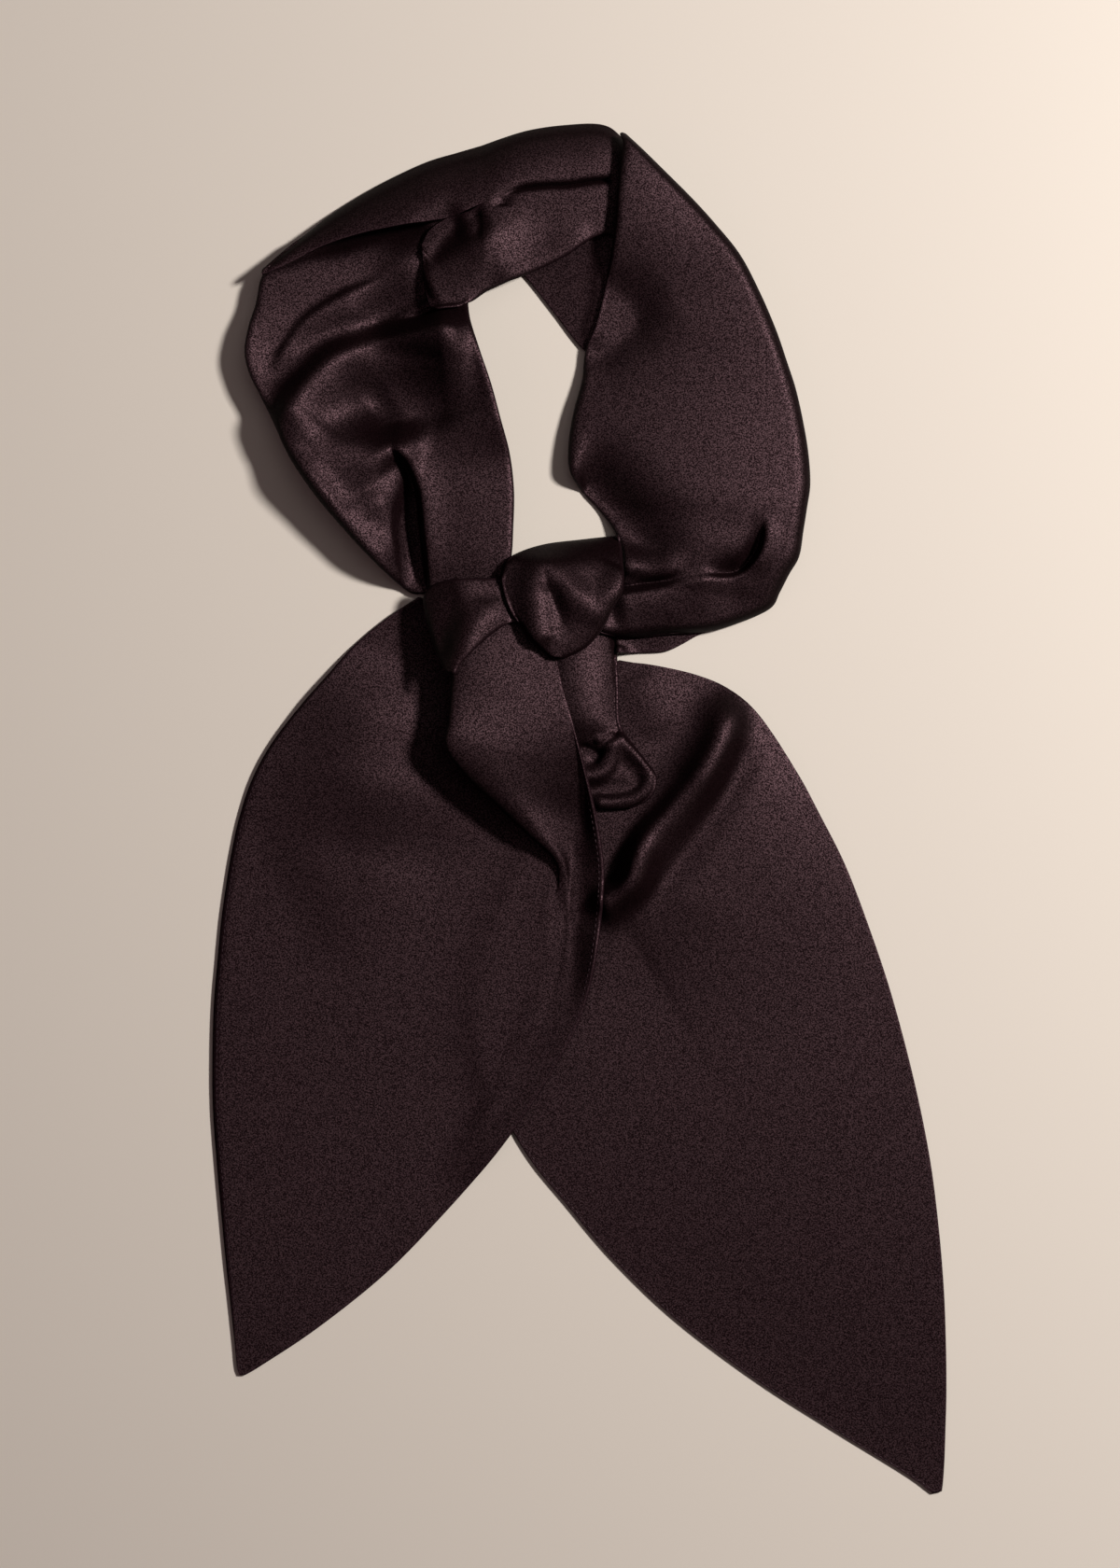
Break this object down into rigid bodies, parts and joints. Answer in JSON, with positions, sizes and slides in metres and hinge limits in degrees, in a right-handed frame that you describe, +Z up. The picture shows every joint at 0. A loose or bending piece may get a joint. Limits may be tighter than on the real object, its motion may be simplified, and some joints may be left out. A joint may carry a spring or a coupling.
{
  "type": "silk scarf",
  "caption": "Narrow dark satin neck scarf with leaf-shaped ends, tied in a ring with a wrapped knot and laid flat.",
  "frame": {"origin": "middle of the laid scarf's outline, on the surface it lies on", "axes": "+Y from the tips of the ends towards the neck ring, +X to the right of the laid scarf seen from above, +Z up from the surface"},
  "size_m": [0.3028, 0.5652, 0.0323],
  "materials": {
    "satin": "heavy plum-black satin with a fine grain and a soft sheen"
  },
  "bodies": {
    "root": {"tail_right": "satin", "tail_right_stem": "satin", "tail_left": "satin", "knot_loop_left": "satin", "knot_wrap": "satin", "band_left": "satin", "band_top": "satin", "band_top_under": "satin", "band_right": "satin", "band_return_under": "satin"}
  },
  "joints": []
}
